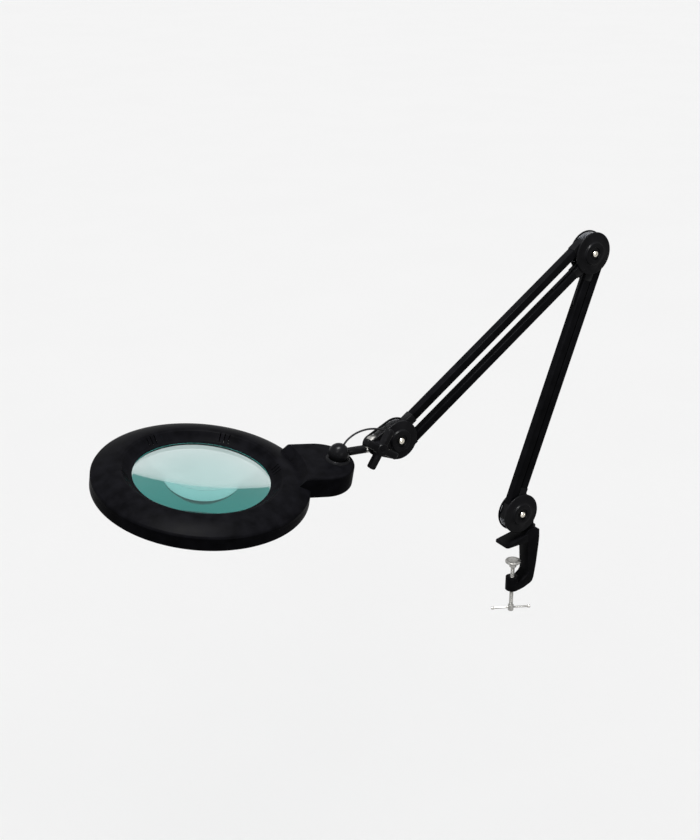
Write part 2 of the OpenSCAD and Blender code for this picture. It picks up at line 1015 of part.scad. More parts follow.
module housing_screws() {
  head_z = floor_z - 1.4;
  seat_z = floor_z + 0.4;
  color("silver")
    for (a = screw_angles)
      rotate([0, 0, a])
        translate([screw_ring_r, 0, 0])
          difference() {
            rotate_extrude()
              polygon([
                [0, head_z], [2.2, head_z], [2.7, head_z + 0.5], [2.7, seat_z],
                [1.4, seat_z], [1.4, -2], [0.6, -1.2], [0, -1.2]
              ]);
            for (t = [0, 90])
              rotate([0, 0, t])
                translate([-1.4, -0.3, head_z - 1])
                  cube([2.8, 0.6, 1.8]);
          }
}

module power_button() {
  color("dimgray")
    translate([button_x, 0, neck_bottom])
      rotate_extrude()
        polygon([
          [0, -1.6], [button_r - 0.8, -1.6], [button_r, -0.8], [button_r, 1.4],
          [button_r + 1, 1.4], [button_r + 1, 2.2], [0, 2.2]
        ]);
}

module button_switch() {
  color("black")
    union() {
      translate([button_x - 3, -3, -7.9])
        cube([6, 6, 2.5]);
      translate([button_x, 0, -8.5])
        cylinder(r = 1.5, h = 1);
    }
}

// ---------- nodes in place ----------

clamp_frame();
clamp_screw();
pressure_pad();
tommy_bar();
tommy_bar_stops();

base_pin();
at_xz(base_c) steel() cheek_plates(cover_r - 2.3, base_pins);  // base_plates
at_xz(base_c) plastic() round_cover(1, cover_r);  // base_cover_near
at_xz(base_c) plastic() round_cover(-1, cover_r);  // base_cover_far
at_xz(base_c) steel() centre_screw();  // base_screw
at_xz(base_c) steel() pivot_pins(base_pins);  // base_pivot_pins

lower_tube_front();
lower_sleeves_front();
lower_wire();
lower_tube_rear();
lower_sleeves_rear();
lower_spring();

at_xz(elbow_c) steel() cheek_plates(cover_r - 2.3, elbow_pins);  // elbow_plates
at_xz(elbow_c) plastic() round_cover(1, cover_r);  // elbow_cover_near
at_xz(elbow_c) plastic() round_cover(-1, cover_r);  // elbow_cover_far
at_xz(elbow_c) steel() centre_screw();  // elbow_screw
at_xz(elbow_c) steel() pivot_pins(elbow_pins);  // elbow_pivot_pins
elbow_cable();

upper_tube_top();
upper_sleeves_top();
upper_spring();
upper_tube_bottom();
upper_sleeves_bottom();
upper_wire();

at_wrist() steel() wrist_plate_pair();  // wrist_plates
at_wrist() plastic() wrist_cover(1);  // wrist_cover_near
at_wrist() plastic() wrist_cover(-1);  // wrist_cover_far
at_wrist() steel() centre_screw();  // wrist_screw
at_wrist() steel() pivot_pins([wrist_top_p, wrist_bottom_p]);  // wrist_pivot_pins
at_wrist() tilt_bolt();
at_wrist() tilt_knob();
at_wrist() knob_insert();
at_wrist() tilt_tongue();
at_wrist() head_rod();
at_wrist() rod_sleeve();
at_wrist() swivel_ball();
at_wrist() swivel_nut();
head_cable();

at_head() swivel_collar();
at_head() head_upper_housing();
at_head() head_lower_housing();
at_head() lens();
at_head() lens_gasket();
at_head() lens_ring();
at_head() led_board();
at_head() leds();
at_head() diffuser();
at_head() driver_board();
at_head() board_wires();
at_head() housing_screws();
at_head() power_button();
at_head() button_switch();
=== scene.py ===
"""Looks of the magnifying lamp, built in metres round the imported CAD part."""
import bmesh
import bpy
import json
import math
from mathutils import Euler, Matrix, Vector

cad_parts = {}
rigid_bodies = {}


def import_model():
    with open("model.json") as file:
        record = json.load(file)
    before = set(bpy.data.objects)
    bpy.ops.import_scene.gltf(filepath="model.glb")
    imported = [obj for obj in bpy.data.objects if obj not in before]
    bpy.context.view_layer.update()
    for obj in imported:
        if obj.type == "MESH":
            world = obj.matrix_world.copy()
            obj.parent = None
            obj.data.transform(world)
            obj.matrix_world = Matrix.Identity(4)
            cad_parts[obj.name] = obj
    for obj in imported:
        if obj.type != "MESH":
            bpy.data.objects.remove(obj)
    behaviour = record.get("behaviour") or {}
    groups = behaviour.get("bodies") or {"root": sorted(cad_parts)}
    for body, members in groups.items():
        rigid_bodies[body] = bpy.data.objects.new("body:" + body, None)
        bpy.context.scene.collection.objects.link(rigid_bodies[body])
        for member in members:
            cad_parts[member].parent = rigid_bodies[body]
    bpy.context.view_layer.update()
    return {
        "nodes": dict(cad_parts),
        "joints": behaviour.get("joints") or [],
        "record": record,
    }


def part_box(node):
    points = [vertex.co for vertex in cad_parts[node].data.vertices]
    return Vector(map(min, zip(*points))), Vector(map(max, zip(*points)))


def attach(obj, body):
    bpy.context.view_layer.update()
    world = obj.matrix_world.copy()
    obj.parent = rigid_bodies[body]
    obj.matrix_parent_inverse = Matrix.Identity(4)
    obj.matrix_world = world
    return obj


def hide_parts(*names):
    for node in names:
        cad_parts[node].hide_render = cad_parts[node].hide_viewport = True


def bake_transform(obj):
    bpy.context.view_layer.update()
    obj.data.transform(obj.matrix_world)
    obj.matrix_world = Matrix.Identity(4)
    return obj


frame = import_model()
NODES = frame["nodes"]
JOINTS = {j["name"]: j for j in frame["joints"]}
MM = 0.001
SHARP = 32.0        # degrees; steeper edges are shaded as edges


# ---------------------------------------------------------------- materials

def new_material(name):
    mat = bpy.data.materials.new(name)
    mat.use_nodes = True
    nodes, links = mat.node_tree.nodes, mat.node_tree.links
    shader = nodes["Principled BSDF"]
    coords = nodes.new("ShaderNodeTexCoord").outputs["Object"]
    return mat, nodes, links, shader, coords


def noise(nodes, links, coords, scale, detail=3.0, stretch=None):
    """A noise texture's factor; scale counts features per metre."""
    if stretch:
        mapping = nodes.new("ShaderNodeMapping")
        mapping.inputs["Scale"].default_value = stretch
        links.new(coords, mapping.inputs["Vector"])
        coords = mapping.outputs["Vector"]
    tex = nodes.new("ShaderNodeTexNoise")
    tex.inputs["Scale"].default_value = scale
    tex.inputs["Detail"].default_value = detail
    links.new(coords, tex.inputs["Vector"])
    return tex.outputs["Fac"]


def remap(nodes, links, value, low, high, source=(0.3, 0.7)):
    node = nodes.new("ShaderNodeMapRange")
    node.inputs["From Min"].default_value, node.inputs["From Max"].default_value = source
    node.inputs["To Min"].default_value = low
    node.inputs["To Max"].default_value = high
    links.new(value, node.inputs["Value"])
    return node.outputs["Result"]


def mix_colour(nodes, links, factor, a, b):
    node = nodes.new("ShaderNodeMix")
    node.data_type = "RGBA"
    links.new(factor, node.inputs["Factor"])
    for socket, value in (("A", a), ("B", b)):
        target = [s for s in node.inputs if s.name == socket and s.type == "RGBA"][0]
        if isinstance(value, tuple):
            target.default_value = (*value, 1)
        else:
            links.new(value, target)
    return [s for s in node.outputs if s.type == "RGBA"][0]


def edge_mask(nodes, links, radius):
    """About 1 near convex edges and 0 on flats, for wear."""
    bevel = nodes.new("ShaderNodeBevel")
    bevel.samples = 4
    bevel.inputs["Radius"].default_value = radius
    geometry = nodes.new("ShaderNodeNewGeometry")
    dot = nodes.new("ShaderNodeVectorMath")
    dot.operation = "DOT_PRODUCT"
    links.new(bevel.outputs["Normal"], dot.inputs[0])
    links.new(geometry.outputs["Normal"], dot.inputs[1])
    return remap(nodes, links, dot.outputs["Value"], 1.0, 0.0, (0.80, 0.995))


WEAR_WIDTH = 0.0006


def surface(name, dark, light, rough, grain=2500.0, bump=0.05, bump_depth=0.0002, metallic=0.0,
            stretch=None, worn=None, specular=0.5, coat=0.0, patch=60.0):
    """Opaque material: mottled colour, uneven roughness, fine relief and, if asked, worn edges."""
    mat, nodes, links, shader, coords = new_material(name)
    broad = noise(nodes, links, coords, patch, 4.0)
    fine = noise(nodes, links, coords, grain, 2.0, stretch)
    colour = mix_colour(nodes, links, remap(nodes, links, broad, 0.0, 1.0), dark, light)
    if worn:
        scratched = nodes.new("ShaderNodeMath")
        scratched.operation = "MULTIPLY"
        links.new(edge_mask(nodes, links, WEAR_WIDTH), scratched.inputs[0])
        scuffs = noise(nodes, links, coords, 420.0, 5.0)
        links.new(remap(nodes, links, scuffs, 0.0, 0.5, (0.45, 0.75)), scratched.inputs[1])
        colour = mix_colour(nodes, links, scratched.outputs["Value"], colour, worn)
    links.new(colour, shader.inputs["Base Color"])
    mixed = nodes.new("ShaderNodeMath")
    mixed.operation = "MULTIPLY_ADD"
    links.new(remap(nodes, links, fine, -1.0, 1.0), mixed.inputs[0])
    mixed.inputs[1].default_value = 0.5 * (rough[1] - rough[0])
    links.new(remap(nodes, links, broad, rough[0], rough[1]), mixed.inputs[2])
    links.new(mixed.outputs["Value"], shader.inputs["Roughness"])
    shader.inputs["Metallic"].default_value = metallic
    shader.inputs["Specular IOR Level"].default_value = specular
    shader.inputs["Coat Weight"].default_value = coat
    relief = nodes.new("ShaderNodeBump")
    relief.inputs["Strength"].default_value = bump
    relief.inputs["Distance"].default_value = bump_depth
    links.new(fine, relief.inputs["Height"])
    links.new(relief.outputs["Normal"], shader.inputs["Normal"])
    return mat


def lens_glass():
    """Clear glass with a green-blue body; the ground edge, marked by the attribute rim, has a painted glow: it
    emits its teal colour whatever the lamps do.
    """
    mat, nodes, links, shader, coords = new_material("lens_glass")
    shader.inputs["Transmission Weight"].default_value = 1.0
    shader.inputs["IOR"].default_value = 1.52
    smudge = noise(nodes, links, coords, 26.0, 5.0)
    links.new(remap(nodes, links, smudge, 0.0, 0.018, (0.4, 0.8)), shader.inputs["Roughness"])
    tint = mix_colour(nodes, links, remap(nodes, links, smudge, 0.0, 1.0), LENS_TINT[0], LENS_TINT[1])
    links.new(tint, shader.inputs["Base Color"])
    # painted glow: the ground edge emits its own colour at EDGE_GLOW strength
    ground = nodes.new("ShaderNodeBsdfPrincipled")
    cloud = remap(nodes, links, noise(nodes, links, coords, 14.0, 2.0), 0.0, 1.0)
    glow_colour = mix_colour(nodes, links, cloud, EDGE_TINT[0], EDGE_TINT[1])
    links.new(glow_colour, ground.inputs["Base Color"])
    links.new(glow_colour, ground.inputs["Emission Color"])
    ground.inputs["Emission Strength"].default_value = EDGE_GLOW
    ground.inputs["Roughness"].default_value = 0.8
    rim = nodes.new("ShaderNodeAttribute")
    rim.attribute_name = "rim"
    mix = nodes.new("ShaderNodeMixShader")
    links.new(rim.outputs["Fac"], mix.inputs[0])
    links.new(shader.outputs["BSDF"], mix.inputs[1])
    links.new(ground.outputs["BSDF"], mix.inputs[2])
    # painted glow: past TRAPPED_DEPTH bounces the glass emits its edge colour in place of light caught inside it
    path = nodes.new("ShaderNodeLightPath")
    deep = remap(nodes, links, path.outputs["Ray Depth"], 0.0, 1.0, (TRAPPED_DEPTH, TRAPPED_DEPTH + 1))
    glow = nodes.new("ShaderNodeEmission")
    links.new(glow_colour, glow.inputs["Color"])
    glow.inputs["Strength"].default_value = TRAPPED_GLOW
    trapped = nodes.new("ShaderNodeMixShader")
    links.new(deep, trapped.inputs[0])
    links.new(mix.outputs["Shader"], trapped.inputs[1])
    links.new(glow.outputs["Emission"], trapped.inputs[2])
    body = nodes.new("ShaderNodeVolumeAbsorption")
    body.inputs["Color"].default_value = (*BODY_TINT, 1)
    body.inputs["Density"].default_value = BODY_DENSITY
    output = nodes["Material Output"]
    links.new(trapped.outputs["Shader"], output.inputs["Surface"])
    links.new(body.outputs["Volume"], output.inputs["Volume"])
    return mat


def diffuser_plastic():
    """Milky plastic with a fine prismatic pattern."""
    mat, nodes, links, shader, coords = new_material("diffuser_plastic")
    shader.inputs["Transmission Weight"].default_value = 0.35
    shader.inputs["Roughness"].default_value = 0.5
    shader.inputs["IOR"].default_value = 1.49
    cells = nodes.new("ShaderNodeTexVoronoi")
    cells.inputs["Scale"].default_value = 900.0
    links.new(coords, cells.inputs["Vector"])
    colour = mix_colour(nodes, links, noise(nodes, links, coords, 40.0), (0.84, 0.85, 0.84), (0.92, 0.92, 0.9))
    links.new(colour, shader.inputs["Base Color"])
    relief = nodes.new("ShaderNodeBump")
    relief.inputs["Strength"].default_value = 0.4
    relief.inputs["Distance"].default_value = 0.0003
    links.new(cells.outputs["Distance"], relief.inputs["Height"])
    links.new(relief.outputs["Normal"], shader.inputs["Normal"])
    return mat


LENS_TINT = ((0.64, 0.73, 0.72), (0.70, 0.79, 0.78))
# colours and emission strength of the painted glow on the ground edge
EDGE_TINT, EDGE_GLOW = ((0.07, 0.36, 0.33), (0.10, 0.44, 0.41)), 0.9
TRAPPED_DEPTH, TRAPPED_GLOW = 4.0, 0.85     # painted glow: after this many bounces the glass emits its edge colour, standing in for light caught inside it
BODY_TINT, BODY_DENSITY = (0.1, 0.72, 0.70), 9.0
BLACK_DARK, BLACK_LIGHT = (0.0009, 0.0009, 0.0011), (0.0020, 0.0020, 0.0024)
WORN_PAINT, WORN_PLASTIC = (0.03, 0.03, 0.033), (0.012, 0.012, 0.012)
MATERIALS = {
    "clamp_paint": surface("clamp_paint", BLACK_DARK, BLACK_LIGHT, (0.34, 0.5), 1800, 0.12, 0.0003,
                           worn=WORN_PAINT, specular=0.014),
    "tube_paint": surface("tube_paint", BLACK_DARK, BLACK_LIGHT, (0.26, 0.38), 2600, 0.05,
                          worn=WORN_PAINT, specular=0.012),
    "cover_plastic": surface("cover_plastic", (0.0015, 0.0015, 0.0018), (0.0032, 0.0032, 0.0036),
                             (0.24, 0.34), 3200, 0.14, worn=WORN_PLASTIC, specular=0.035),
    "housing_plastic": surface("housing_plastic", BLACK_DARK, (0.0020, 0.0020, 0.0025),
                               (0.34, 0.44), 3600, 0.10, worn=WORN_PLASTIC, specular=0.005),
    "zinc": surface("zinc", (0.26, 0.26, 0.25), (0.42, 0.41, 0.39), (0.24, 0.42), 1500, 0.12,
                    metallic=1.0, worn=(0.8, 0.79, 0.76), patch=220),
    "steel": surface("steel", (0.42, 0.43, 0.45), (0.55, 0.56, 0.58), (0.22, 0.36), 900, 0.10,
                     metallic=1.0, stretch=(1, 1, 14), patch=120),
    "screw_steel": surface("screw_steel", (0.50, 0.48, 0.42), (0.68, 0.64, 0.56), (0.16, 0.3), 1400, 0.08,
                           metallic=1.0, worn=(0.9, 0.88, 0.82), patch=300),
    "brass_insert": surface("brass_insert", (0.55, 0.38, 0.13), (0.72, 0.53, 0.22), (0.22, 0.36), 1200, 0.1,
                            metallic=1.0),
    "cable": surface("cable", (0.006, 0.006, 0.0065), (0.012, 0.012, 0.013), (0.45, 0.6), 2400, 0.25,
                     specular=0.04),
    "gasket_rubber": surface("gasket_rubber", (0.01, 0.01, 0.01), (0.02, 0.02, 0.02), (0.6, 0.75), 2600, 0.3),
    "lens_glass": lens_glass(),
    "board": surface("board", (0.66, 0.67, 0.65), (0.78, 0.79, 0.76), (0.3, 0.45), 1500, 0.08),
    "led_cap": surface("led_cap", (0.80, 0.62, 0.18), (0.90, 0.78, 0.36), (0.2, 0.3), 2000, 0.05),
    "diffuser_plastic": diffuser_plastic(),
    "wire_red": surface("wire_red", (0.32, 0.02, 0.015), (0.45, 0.035, 0.03), (0.35, 0.45), 2400, 0.1),
    "button_plastic": surface("button_plastic", (0.02, 0.02, 0.022), (0.032, 0.032, 0.035), (0.3, 0.42),
                              3000, 0.12),
}
SLOT_OF = {p["node"]: p["material_slot"] for p in frame["record"]["subparts"]}


# ---------------------------------------------------------------- mesh tools

def basis(origin, x, y):
    """Matrix of a local frame from its origin and its x and y directions."""
    x, y = Vector(x).normalized(), Vector(y)
    z = x.cross(y).normalized()
    y = z.cross(x)
    m = Matrix((x, y, z)).transposed().to_4x4()
    m.translation = Vector(origin)
    return m


def side(origin, angle=0.0):
    """Frame in the arms' plane: x at that angle above +X, z towards the near side."""
    a = math.radians(angle)
    return basis(origin, (math.cos(a), 0, math.sin(a)), (-math.sin(a), 0, math.cos(a)))


def arc(centre, radius, a0, a1, count):
    """Points in mm along an arc, angles in degrees."""
    angles = [math.radians(a0 + (a1 - a0) * i / count) for i in range(count + 1)]
    return [(centre[0] + radius * math.cos(a), centre[1] + radius * math.sin(a)) for a in angles]


def soften(points, radius, steps=4, closed=True):
    """The polyline with its corners rounded; radius is one number or one per point."""
    out, n = [], len(points)
    for i, p in enumerate(points):
        r = radius[i] if isinstance(radius, (list, tuple)) else radius
        if r <= 0 or (not closed and i in (0, n - 1)):
            out.append(tuple(p))
            continue
        p, a, b = Vector(p), Vector(points[i - 1]), Vector(points[(i + 1) % n])
        u, v = a - p, b - p
        half = u.angle(v) / 2
        if half > math.radians(88):
            out.append(tuple(p))
            continue
        t = min(r / math.tan(half), 0.46 * u.length, 0.46 * v.length)
        s, e = p + u.normalized() * t, p + v.normalized() * t
        for k in range(steps + 1):
            w = k / steps
            out.append(tuple(s * (1 - w) ** 2 + p * 2 * w * (1 - w) + e * w * w))
    return out


def lathe(points, segments=96):
    """Turned solid about local z from (radius, height) in mm; a closed ring if no point is on the axis."""
    ring = all(p[0] > 1e-6 for p in points)
    verts, rows, faces = [], [], []
    for r, z in points:
        if r < 1e-6:
            rows.append([len(verts)] * segments)
            verts.append((0, 0, z))
        else:
            rows.append(list(range(len(verts), len(verts) + segments)))
            for k in range(segments):
                a = 2 * math.pi * k / segments
                verts.append((r * math.cos(a), r * math.sin(a), z))
    pairs = list(zip(rows, rows[1:])) + ([(rows[-1], rows[0])] if ring else [])
    for low, high in pairs:
        for k in range(segments):
            n = (k + 1) % segments
            face = list(dict.fromkeys((low[k], low[n], high[n], high[k])))
            if len(face) > 2:
                faces.append(face)
    return verts, faces


def inset(points, amount):
    """The closed outline moved inwards (anticlockwise outlines) by amount."""
    out, n = [], len(points)
    for i in range(n):
        a, p, b = Vector(points[i - 1]), Vector(points[i]), Vector(points[(i + 1) % n])
        u, v = (p - a).normalized(), (b - p).normalized()
        m = Vector((-u.y - v.y, u.x + v.x))
        m = m.normalized() / max(0.35, m.length / 2)
        out.append(tuple(p + m * amount))
    return out


def prism(outline, z0, z1, edge=(0.5, 0.5), holes=(), steps=4):
    """Outline extruded in mm, rounded by edge = (bottom, top); holes are outlines. All run anticlockwise."""
    bm = bmesh.new()
    caps = ([], [])
    for index, loop in enumerate([outline, *holes]):
        sign = 1 if index == 0 else -1
        turns = [math.pi / 2 * k / steps for k in range(steps + 1)]
        levels = [(edge[0] * (1 - math.sin(t)), z0 + edge[0] * (1 - math.cos(t))) for t in turns]
        levels += [(edge[1] * (1 - math.sin(t)), z1 - edge[1] * (1 - math.cos(t)))
                   for t in reversed(turns)]
        rings = [[bm.verts.new((x, y, z)) for x, y in inset(loop, s * sign)] for s, z in levels]
        n = len(loop)
        for low, high in zip(rings, rings[1:]):
            for k in range(n):
                bm.faces.new((low[k], low[(k + 1) % n], high[(k + 1) % n], high[k]))
        for ring, cap in zip((rings[0], rings[-1]), caps):
            cap += [bm.edges.get((ring[k], ring[(k + 1) % n])) for k in range(n)]
    for cap in caps:
        bmesh.ops.triangle_fill(bm, use_beauty=True, edges=cap)
    bmesh.ops.dissolve_limit(bm, angle_limit=0.002, verts=bm.verts[:], edges=bm.edges[:])
    bmesh.ops.recalc_face_normals(bm, faces=bm.faces[:])
    bm.verts.index_update()
    data = [tuple(v.co) for v in bm.verts], [[v.index for v in f.verts] for f in bm.faces]
    bm.free()
    return data


def sweep(path, radius, segments=16):
    """Round bar in mm along 3-D points, with domed ends."""
    path = [Vector(p) for p in path]
    verts, faces = [], []
    tangent = (path[1] - path[0]).normalized()
    side_dir = tangent.orthogonal().normalized()
    stations = [(path[0] - tangent * radius * 0.8, 0.35)] + [(p, 1.0) for p in path]
    end = (path[-1] - path[-2]).normalized()
    stations.append((path[-1] + end * radius * 0.8, 0.35))
    for i, (p, scale) in enumerate(stations):
        a, b = stations[max(i - 1, 0)][0], stations[min(i + 1, len(stations) - 1)][0]
        t = (b - a).normalized()
        side_dir = (side_dir - t * side_dir.dot(t)).normalized()
        other = t.cross(side_dir)
        for k in range(segments):
            w = 2 * math.pi * k / segments
            verts.append(tuple(p + (side_dir * math.cos(w) + other * math.sin(w)) * radius * scale))
    for i in range(len(stations) - 1):
        for k in range(segments):
            n = (k + 1) % segments
            a = i * segments
            faces.append((a + k, a + n, a + segments + n, a + segments + k))
    faces.append(tuple(range(segments)))
    faces.append(tuple(range(len(verts) - segments, len(verts))))
    return verts, faces


def thread(radius, depth, pitch, z0, z1, segments=36, per_turn=6):
    """Screw thread with tapered ends, in mm."""
    rows = int((z1 - z0) / pitch * per_turn)
    verts, faces = [], []
    for i in range(rows + 1):
        z = z0 + (z1 - z0) * i / rows
        fade = min(1.0, (z - z0) / pitch, (z1 - z) / pitch)
        for k in range(segments):
            phase = ((z - z0) / pitch - k / segments) % 1.0
            wave = min(1.0, 1.35 * abs(2 * phase - 1))
            r = radius - depth * (1 - wave * fade)
            a = 2 * math.pi * k / segments
            verts.append((r * math.cos(a), r * math.sin(a), z))
    for i in range(rows):
        for k in range(segments):
            n = (k + 1) % segments
            a = i * segments
            faces.append((a + k, a + n, a + segments + n, a + segments + k))
    faces.append(tuple(range(segments)))
    faces.append(tuple(range(len(verts) - segments, len(verts))))
    return verts, faces


def make(name, parts, local, slot):
    """One mesh object from (verts, faces) parts in mm in the local frame."""
    bm = bmesh.new()
    for verts, faces in parts:
        made = [bm.verts.new(v) for v in verts]
        for face in faces:
            bm.faces.new([made[i] for i in face])
    bmesh.ops.recalc_face_normals(bm, faces=bm.faces[:])
    mesh = bpy.data.meshes.new(name)
    bm.to_mesh(mesh)
    bm.free()
    mesh.transform(local @ Matrix.Scale(MM, 4))
    obj = bpy.data.objects.new(name, mesh)
    bpy.context.scene.collection.objects.link(obj)
    finish_mesh(obj, slot)
    return obj


def finish_mesh(obj, slot):
    obj.data.shade_smooth()
    obj.data.set_sharp_from_angle(angle=math.radians(SHARP))
    obj.data.materials.clear()
    obj.data.materials.append(MATERIALS[slot])


def cut(obj, tools, operation):
    """Applies booleans with the tool objects, then removes them."""
    for tool in tools:
        mod = obj.modifiers.new("cut", "BOOLEAN")
        mod.operation = operation
        mod.solver = "EXACT"
        mod.object = tool
    bpy.context.view_layer.update()
    evaluated = obj.evaluated_get(bpy.context.evaluated_depsgraph_get())
    mesh = bpy.data.meshes.new_from_object(evaluated)
    obj.modifiers.clear()
    obj.data = mesh
    obj.data.shade_smooth()
    obj.data.set_sharp_from_angle(angle=math.radians(SHARP))
    for tool in tools:
        bpy.data.objects.remove(tool)
    return obj


def drill(obj, shape, local):
    """Cuts one prism or lathe shape out of the object."""
    cut(obj, [make("tool", [shape], local, "steel")], "DIFFERENCE")


# ---------------------------------------------------------------- places

def joint_at(name):
    return Vector(JOINTS[name]["pos_m"])


def centre(node):
    low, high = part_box(node)
    return (low + high) / 2


WRIST_C = centre("wrist_screw")
TILT, BALL = joint_at("head_tilt"), joint_at("rod_twist")
ARM_LOW, ARM_UP = 70.0, 35.0
HEAD_TURN = (8.135, 5.745, -13.39)
HEAD_BALL = (182.2, 0.0, 27.8)
HEAD = (Matrix.Translation(BALL) @ Euler([math.radians(a) for a in HEAD_TURN], "XYZ").to_matrix().to_4x4()
        @ Matrix.Translation(-Vector(HEAD_BALL) * MM))
SCREW_AXIS = centre("clamp_screw")


# ---------------------------------------------------------------- arms

def square(size, corner, steps=7):
    """Anticlockwise rounded square."""
    h = size / 2 - corner
    return [p for k, c in enumerate(((h, h), (-h, h), (-h, -h), (h, -h)))
            for p in arc(c, corner, 90 * k, 90 * k + 90, steps)]


def circle(centre_at, radius, count=32):
    return arc(centre_at, radius, 0, 360 - 360 / count, count - 1)


TUBE, WALL, CORNER, INNER_CORNER, REACH = 12.0, 1.2, 1.3, 0.5, 18.0     # REACH: pivot to the tube's end
LOW_LEN, UP_LEN, ENTRY, ENTRY_R = 380.0, 365.0, 56.0, 2.0     # ENTRY: where the lead enters a tube


def tube_piece(node, start, angle, length, body, hole):
    """Square tube with smooth corners; its local z runs along the arm."""
    a = math.radians(angle)
    local = basis(start, (0, 1, 0), (-math.sin(a), 0, math.cos(a)))
    bore = square(TUBE - 2 * WALL, INNER_CORNER, 3)
    shape = prism(square(TUBE, CORNER), REACH, length - REACH, (0.25, 0.25), [bore], 2)
    obj = make(node + "_skin", [shape], local, "tube_paint")
    if hole:
        at_entry = Matrix.Translation(Vector((0, 0, length - ENTRY)) * MM)
        across = local @ at_entry @ Matrix.Rotation(-math.pi / 2, 4, "X")
        drill(obj, prism(circle((0, 0), ENTRY_R), 1, 12, (0.1, 0.1)), across)
    settle(obj, "tube_paint", body, node)


def settle(obj, slot, body, *nodes):
    """Last step of a piece: its material, the body it rides on and the CAD nodes it stands for."""
    finish_mesh(obj, slot)
    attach(obj, body)
    if nodes:
        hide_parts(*nodes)


def arms():
    """The tubes; the upper arm's joints are at its far end, so its pieces start UP_LEN before them."""
    up = Vector((math.cos(math.radians(ARM_UP)), 0, math.sin(math.radians(ARM_UP))))
    tube_piece("lower_tube_front", joint_at("lower_arm_lift"), ARM_LOW, LOW_LEN, "lower_front", True)
    tube_piece("lower_tube_rear", joint_at("lower_rear_follow"), ARM_LOW, LOW_LEN, "lower_rear", False)
    span = up * UP_LEN * MM
    tube_piece("upper_tube_top", joint_at("upper_arm_lift") - span, ARM_UP, UP_LEN, "upper_top", False)
    tube_piece("upper_tube_bottom", joint_at("upper_bottom_follow") - span, ARM_UP, UP_LEN, "upper_bottom", True)


# ---------------------------------------------------------------- leads

def in_plane(origin, points):
    """World points in metres from (x, z) in mm about an origin."""
    return [Vector(origin) + Vector((x, 0, z)) * MM for x, z in points]


def smooth_path(points, rounds=3):
    for _ in range(rounds):
        out = [points[0]]
        for a, b in zip(points, points[1:]):
            out += [a.lerp(b, 0.25), a.lerp(b, 0.75)]
        points = out + [points[-1]]
    return points


def lead(name, points, radius, nodes=()):
    """Round cable laid across one joint."""
    path = [p / MM for p in smooth_path(points)]
    obj = make(name, [sweep(path, radius)], Matrix.Identity(4), "cable")
    if nodes:
        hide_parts(*nodes)
    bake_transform(obj)


def beside(pivot, angle, pairs):
    """World points at (distance back along an arm, height off its axis) from a pivot, in mm."""
    a = math.radians(angle)
    back, off = Vector((-math.cos(a), 0, -math.sin(a))), Vector((-math.sin(a), 0, math.cos(a)))
    return [pivot + (back * u + off * v) * MM for u, v in pairs]


ARM_LEAD_R, HEAD_LEAD_R = 1.0, 1.35


def leads():
    """Each lead is two pieces, one per joint it crosses; they meet on the body between the joints."""
    front, bottom = joint_at("elbow_follow"), joint_at("upper_bottom_follow")
    inside = beside(front, ARM_LOW, [(-9, 7.74)])
    path = beside(front, ARM_LOW, [(60, 1.5), (57, 3), (55, 7.2), (49, 8.2), (40, 8.3), (28, 8.2), (14, 7.9),
                                   (4, 7.74), (-4, 7.74)])
    lead("elbow_lead_low", path + inside, ARM_LEAD_R,
         ["elbow_cable"])
    over = [bottom + Vector((math.cos(math.radians(a)), 0, math.sin(math.radians(a)))) * r * MM
            for a, r in ((30, 9.4), (55, 8.9), (80, 8.4), (105, 8.0))]
    along = beside(bottom, ARM_UP, [(0, 7.9), (8, 7.7), (17, 7.7), (22, 7.3), (40, 7.15), (50, 7.15),
                                    (55, 6.6), (57, 3), (60, 1.5)])
    start = beside(front, ARM_LOW, [(-7, 7.74)])
    lead("elbow_lead_high", start + inside + over + along, ARM_LEAD_R)
    rear = in_plane(WRIST_C, [(-12, 10), (-18, 14.2), (-24, 17.6), (-32, 20.8), (-41, 22.9), (-50, 23.8),
                              (-58, 23.2)])
    lead("head_lead_rear", rear, HEAD_LEAD_R, ["head_cable"])
    ball = in_plane(WRIST_C, [(-56, 23.5), (-64, 22.3), (-72, 19.5), (-78.5, 15.8), (-82.6, 12.0), (-85.5, 8.2)])
    lead("head_lead_front", ball, HEAD_LEAD_R)


# ---------------------------------------------------------------- wrist

WRIST_R, TAIL_R, TAIL_AT = 27.5, 12.3, (-38.0, -0.6)


def teardrop(mirrored):
    """Outline of a wrist cover: a disc with a tail that carries the tilt axis."""
    a = 180 - math.degrees(math.acos((WRIST_R - TAIL_R) / -TAIL_AT[0]))
    points = arc((0, 0), WRIST_R, -a, a, 72) + arc(TAIL_AT, TAIL_R, a, 360 - a, 32)
    return [(-x, y) for x, y in reversed(points)] if mirrored else points


def wrist():
    boss = soften([(2.2, 8.2), (15.8, 8.2), (15.8, 9.6), (14.8, 12), (9, 12), (8.2, 10), (2.2, 10)],
                  [0, 0, 0.8, 0.9, 0.6, 0.6, 0])
    near, far = side(WRIST_C), basis(WRIST_C, (-1, 0, 0), (0, 0, 1))
    for name, local, mirrored in (("wrist_cover_near", near, False), ("wrist_cover_far", far, True)):
        plate = prism(teardrop(mirrored), 6.3, 8.8, (0.3, 0.9), [circle((0, 0), 2.2)])
        shell = make(name + "_shell", [plate, lathe(boss)], local, "cover_plastic")
        settle(shell, "cover_plastic", "wrist", name)
    knob()


